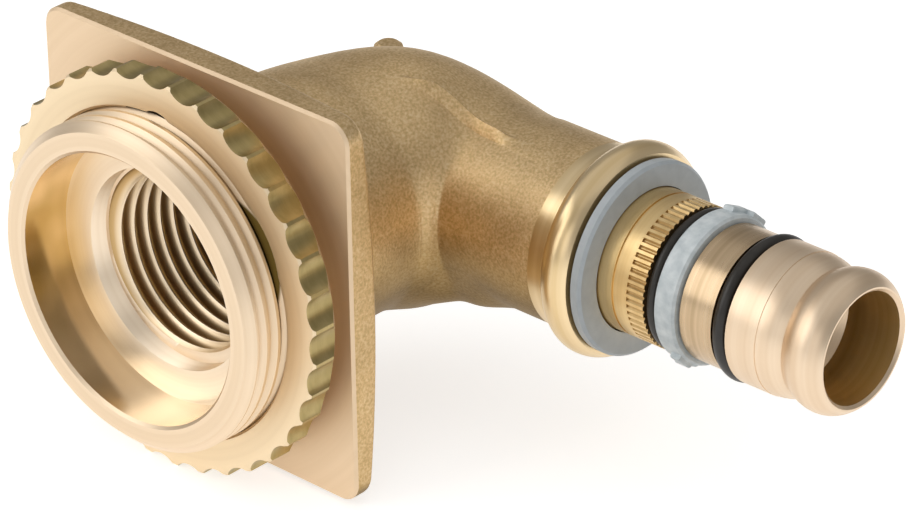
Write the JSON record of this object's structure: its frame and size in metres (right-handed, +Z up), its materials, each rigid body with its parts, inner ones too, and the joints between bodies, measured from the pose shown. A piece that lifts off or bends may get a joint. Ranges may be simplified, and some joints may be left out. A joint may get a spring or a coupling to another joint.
{
  "type": "connection elbow",
  "caption": "Cast brass wall-box elbow with a threaded socket in a square plate, a scalloped lock ring and a stepped spigot with seals that takes a press-fitted pipe.",
  "frame": {"origin": "on the socket's axis, in the plane of the square plate's front face", "axes": "-Y out of the socket's mouth, +X along the spigot towards its tip, +Z up"},
  "size_m": [0.0831, 0.0501, 0.043],
  "materials": {
    "cast_brass": "sand-cast skin with turned faces",
    "turned_brass": "satin, fine turning marks",
    "grey_plastic": "moulded matt",
    "pale_plastic": "moulded matt",
    "black_rubber": "moulded satin"
  },
  "bodies": {
    "elbow": {"elbow_body": "cast_brass", "stop_washer": "grey_plastic", "rear_seal": "black_rubber", "keeper_ring": "pale_plastic", "front_seal": "black_rubber"},
    "ring": {"lock_ring": "turned_brass"}
  },
  "joints": [
    {"name": "ring_turn", "type": "hinge", "parent": "elbow", "child": "ring", "pos_m": [0, 0, 0], "axis": [0, 1, 0], "range_deg": [-1116, 516]}
  ]
}
